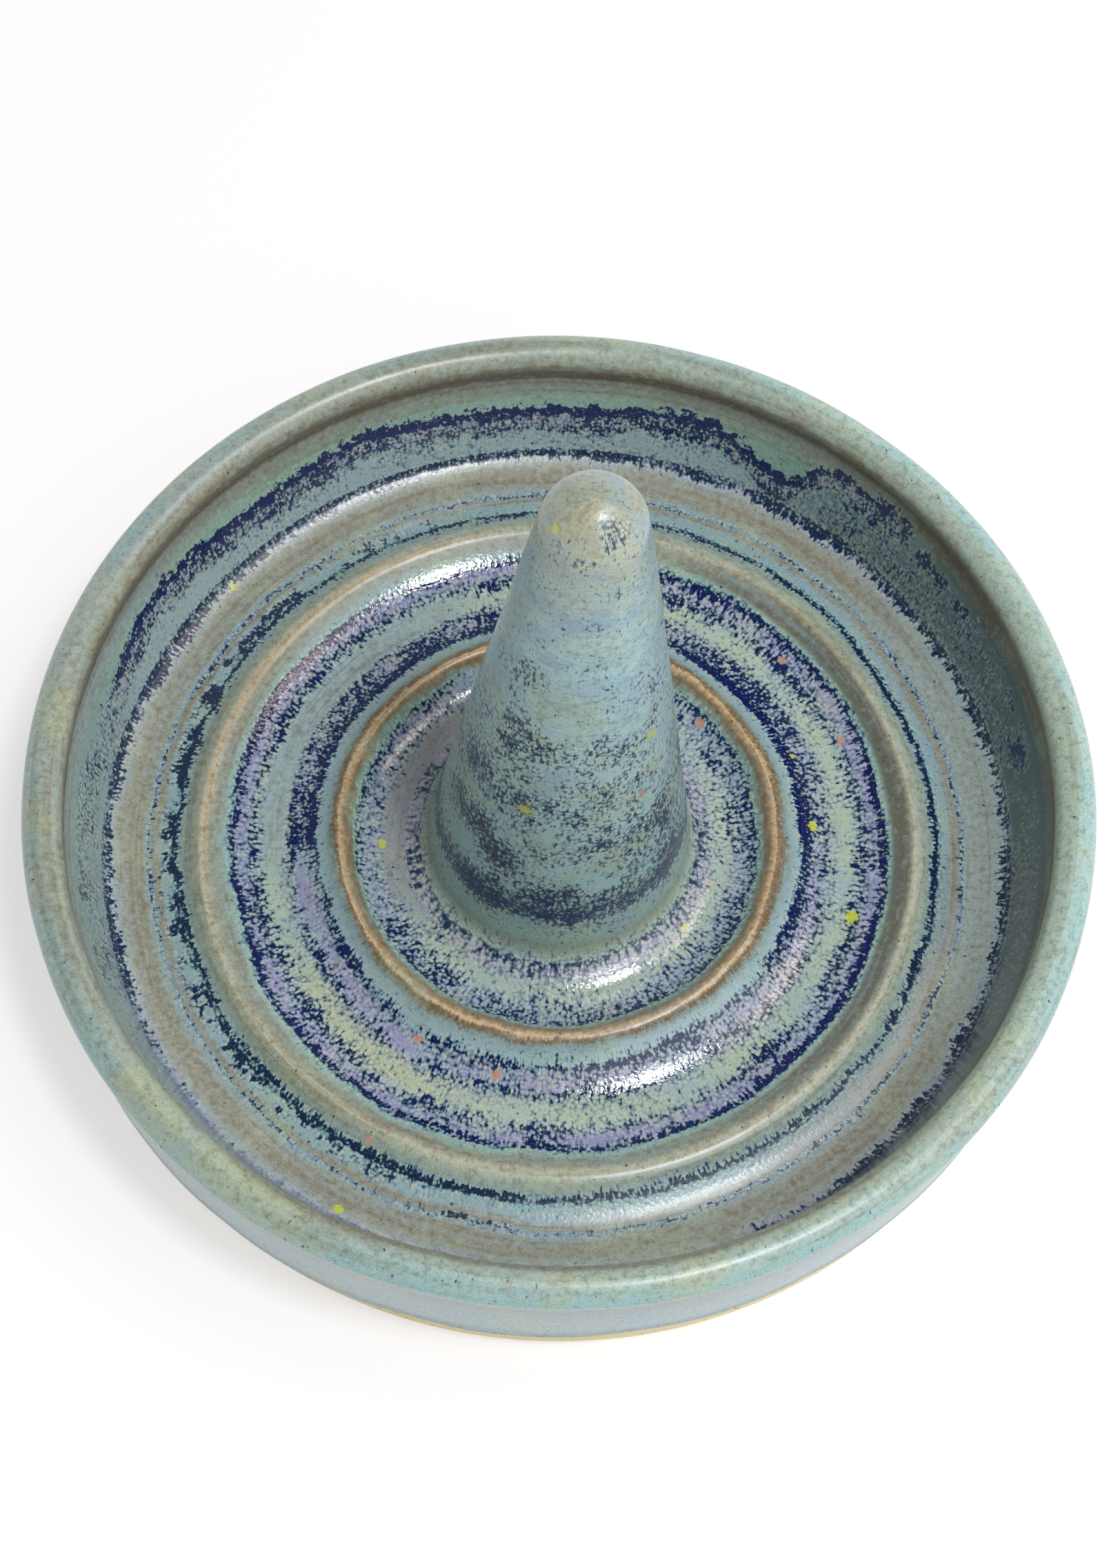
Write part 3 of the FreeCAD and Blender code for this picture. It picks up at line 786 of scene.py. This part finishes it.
cone_glaze = throw("cone_glaze_coat", [*coat_over(cone_face)[:-2], complex(0, CONE_TIP - COAT)])
by_hand(cone_glaze)
lean = math.tan(math.radians(CONE_LEAN))
push_evenly(cone_glaze, "X", lean, start=(0, 0, CONE_SEAT * MM), turn=(0, -math.pi / 2, 0))
finish, shader, place = new_finish("cone_glaze")
height = height_of(place)
leaning = place.node("ShaderNodeCombineXYZ", None, {"X": (height - CONE_SEAT) * lean})
place = place.vector("SUBTRACT", leaning)
flank = height.between(18, 21)
clouds = place.noise(4.6, detail=3, roughness=0.55)
tan_clouds = place.vector("MULTIPLY", (1, 1, 1.4)).noise(7.0, detail=4, roughness=0.6)
sky_share = (1 - tan_clouds.between(-1.4, 0.2)) * height.between(18, 24)
tan_share = tan_clouds.between(-0.2, 1.6) * height.between(18, 24) * (1 - height.between(50, 66))
darks = [spot(place, clouds * 0.09, *where, core=0.2, edge=0.6) for where in CONE_DARKS]
gathered = darks[0]
for dark in darks[1:]:
    gathered = gathered.math("MAXIMUM", dark)
fire(
    shader, place, height, 10, CONE_BANDS,
    deep=(14, 34, 92),
    more=flank * clouds * (0.12 - height.between(36, 66) * 0.09) + gathered * 0.34,
    soft=1.0,
    gloss=0.06,
    tints_and_painted_light=[
        (tan_share * 0.45, (172, 184, 150)),
        (sky_share * 0.5, (158, 196, 220)),
        # Painted shade: the flank darkens on the sides turned away from the front, where less light
        # falls.
        ((1 - towards(place, 270, 80, 40)) * flank * 0.3, (124, 146, 154)),
    ],
    flecks=[(247, 10.4, 34.8, 1.6), (324, 9.1, 43.9, 1.3), (212, 3.9, 75.8, 1.0)],
    dots=[(314, 10.4, 35.0, 1.1)],
)
settle(cone_glaze, finish, "cone_glaze")


# Outer glaze
# The outside was dipped, a little aslant, so the glaze ends in a wavy line above the bare foot. It is
# thin and streaked on the wall and lies thicker over the rolled rim.
OUTER_BANDS = (
    (1.0, (166, 174, 164), 0.00),
    (4.0, (152, 184, 188), 0.04),
    (9.0, (152, 188, 194), 0.05),
    (14.0, (150, 184, 190), 0.04),
    (17.2, (158, 172, 166), 0.00),
    (18.2, (136, 140, 126), 0.00),
    (18.8, (150, 178, 174), 0.00),
    (19.8, (164, 202, 202), 0.04),
    (20.8, (168, 204, 202), 0.04),
    (21.6, (170, 198, 192), 0.00),
    (22.2, (168, 190, 180), 0.00),
)
GLAZE_LINE = 3.4
GLAZE_SLANT = 1.5
GLAZE_WAVE = 1.6
WAVE_SIZE = 9
SLANT_BEARING = 315
SLANT_TOP = 17
EDGE_WEIGHTS = "glaze_edge"
outer_face = trace(
    (52.9, 22.10),
    [(54.55, 21.30), (55.0, 20.0)],
    [(54.9, 19.3), (54.55, 18.6)],
    [(54.32, 17.6)],
    [(53.36, GLAZE_LINE + 1.0)],
    [(53.30, GLAZE_LINE + 0.35), (52.85, GLAZE_LINE)],
)
outer_glaze = throw("outside_glaze", coat_over(outer_face))
edge = outer_glaze.vertex_groups.new(name=EDGE_WEIGHTS)
for vertex in outer_glaze.data.vertices:
    share = (SLANT_TOP - vertex.co.z / MM) / (SLANT_TOP - GLAZE_LINE)
    edge.add([vertex.index], min(1, max(0, share)) ** 2, "REPLACE")
slope = GLAZE_SLANT / FOOT_RADIUS
push_evenly(outer_glaze, "Z", slope, (0, 0, 0), (0, 0, math.radians(SLANT_BEARING)), EDGE_WEIGHTS)
push(outer_glaze, "Z", GLAZE_WAVE, clouds_of("glaze_line", WAVE_SIZE), weights=EDGE_WEIGHTS)
outer_glaze.vertex_groups.clear()
by_hand(outer_glaze)
finish, shader, place = new_finish("outside_glaze")
height = height_of(place)
on_the_rim = height.between(18.6, 19.4)
below_crest = on_the_rim * (1 - height.between(20.8, 21.8))
patches = place.noise(9.0, detail=3)
fire(
    shader, place, height, 54, OUTER_BANDS,
    gloss=0.06,
    tints_and_painted_light=[
        # Rim lighter at the right, greyer at the left: partly glaze colour, partly painted light and
        # shade.
        (towards(place, 165, 100, 50) * on_the_rim * 0.6, (148, 162, 150)),
        (towards(place, 25, 60, 25) * on_the_rim * 0.6, (186, 226, 224)),
        (towards(place, 262, 75, 35) * below_crest * 0.65, (160, 206, 206)),
        (patches.between(-0.2, 1.6) * on_the_rim * 0.35, (190, 202, 156)),
        ((1 - patches.between(-1.6, 0.2)) * on_the_rim * 0.30, (152, 206, 206)),
    ],
)
settle(outer_glaze, finish, "outer_glaze")


# Floor
# A plain pale sheet under the dish, wide enough to fill every view. It fades to white far off.
FLOOR_REACH = 3.0
FLOOR_COLOUR = (252, 248, 250)
FLOOR_WHITE = 0.45
FLOOR_GLOW = 1.2
FLOOR_FADE = (200, 700)


def looked_at(tree):
    """1 for rays from the camera and for what shows in gloss or glass, 0 for light on its way."""
    path = tree.nodes.new("ShaderNodeLightPath").outputs
    seen = Signal(path["Is Camera Ray"]).math("MAXIMUM", Signal(path["Is Glossy Ray"]))
    return seen.math("MAXIMUM", Signal(path["Is Transmission Ray"]))


bpy.ops.object.select_all(action="DESELECT")
bpy.ops.mesh.primitive_plane_add(size=2 * FLOOR_REACH)
floor = bpy.context.object
floor.name = "floor"
sheet, shader, place = new_finish("white_sheet")
shader.inputs["Base Color"].default_value = paint(*FLOOR_COLOUR)
shader.inputs["Roughness"].default_value = 0.9
matt = Signal(shader.outputs[0])
white = matt.node("ShaderNodeEmission", None, {"Strength": FLOOR_GLOW})
far = radius_of(place).between(*FLOOR_FADE)
whiteness = looked_at(sheet.node_tree) * (far * (1 - FLOOR_WHITE) + FLOOR_WHITE)
mixed = matt.node("ShaderNodeMixShader", None, {0: whiteness, 1: matt, 2: white})
feed(sheet.node_tree.nodes["Material Output"], Surface=mixed)
floor.data.materials.append(sheet)


# Light
# A small soft lamp overhead makes the glints, a broad one at the front right lights the dish, and a
# narrow warm one tints the glints on its right side. An even white room lights the rest, and shows
# only faintly in the gloss.
KEY_PLACE = Vector((0.25, -0.18, 1.0))
KEY_SIZE = (0.15, 0.18)
KEY_POWER = 3.9
FRONT_PLACE = Vector((0.50, -0.42, 0.78))
FRONT_SIZE = (0.9, 0.9)
FRONT_POWER = 3.7
SIDE_PLACE = Vector((0.54, 0.14, 1.0))
SIDE_SIZE = (0.14, 0.44)
SIDE_POWER = 1.2
SIDE_TINT = (1.0, 0.78, 0.68)
ROOM_LIGHT = 0.32
ROOM_IN_GLOSS = 0.35
ROOM_SLOPE = (0.0, 0.26, 0.0)
BACKDROP_TOP = (0.30, 0.55)


def hang_lamp(place, size, power):
    bpy.ops.object.light_add(type="AREA", location=place)
    lamp = bpy.context.object
    lamp.data.shape = "RECTANGLE"
    lamp.data.size, lamp.data.size_y = size
    lamp.data.energy = power
    lamp.rotation_euler = (-place).to_track_quat("-Z", "Y").to_euler()
    return lamp


hang_lamp(KEY_PLACE, KEY_SIZE, KEY_POWER)
hang_lamp(FRONT_PLACE, FRONT_SIZE, FRONT_POWER)
side_lamp = hang_lamp(SIDE_PLACE, SIDE_SIZE, SIDE_POWER)
side_lamp.data.color = SIDE_TINT

room = bpy.data.worlds.new("white_room")
bpy.context.scene.world = room
room.use_nodes = True
background = room.node_tree.nodes["Background"]
sky = Signal(room.node_tree.nodes.new("ShaderNodeTexCoord").outputs["Generated"])
settings = {"operation": "DOT_PRODUCT"}
slope = sky.node("ShaderNodeVectorMath", settings, {0: sky, 1: ROOM_SLOPE}, output="Value")
seen = looked_at(room.node_tree)
lighting = (slope + ROOM_LIGHT) * (1 - seen * (1 - ROOM_IN_GLOSS))
backdrop = seen * (1 - height_of(sky).between(*BACKDROP_TOP))
strength = backdrop + (1 - backdrop) * lighting
room.node_tree.links.new(strength.socket, background.inputs["Strength"])
background.inputs["Color"].default_value = (1, 1, 1, 1)


# Camera
# It looks down on the front of the dish from about 65 degrees, held a little askew.
CAMERA_ELEVATION = 65.119
CAMERA_DISTANCE = 0.32754
CAMERA_ROLL = 2.52
AIM = Vector((0.0, 0.005326, 0.010))
FOCAL_PIXELS = 4500
PHOTO_HEIGHT = 2274
SENSOR = 36
rise = math.radians(CAMERA_ELEVATION)
stand = Vector((0, -math.cos(rise), math.sin(rise))) * CAMERA_DISTANCE + Vector((0, 0, AIM.z))
forward = (AIM - stand).normalized()
right = forward.cross(Vector((0, 0, 1))).normalized()
turned = Matrix((right, right.cross(forward), -forward)).transposed().to_4x4()
bpy.ops.object.camera_add()
camera = bpy.context.object
camera.data.sensor_width = SENSOR
camera.data.lens = FOCAL_PIXELS / PHOTO_HEIGHT * SENSOR
roll = Matrix.Rotation(math.radians(CAMERA_ROLL), 4, "Z")
camera.matrix_world = Matrix.Translation(stand) @ turned @ roll
bpy.context.scene.camera = camera
bpy.context.scene.view_settings.view_transform = "Standard"
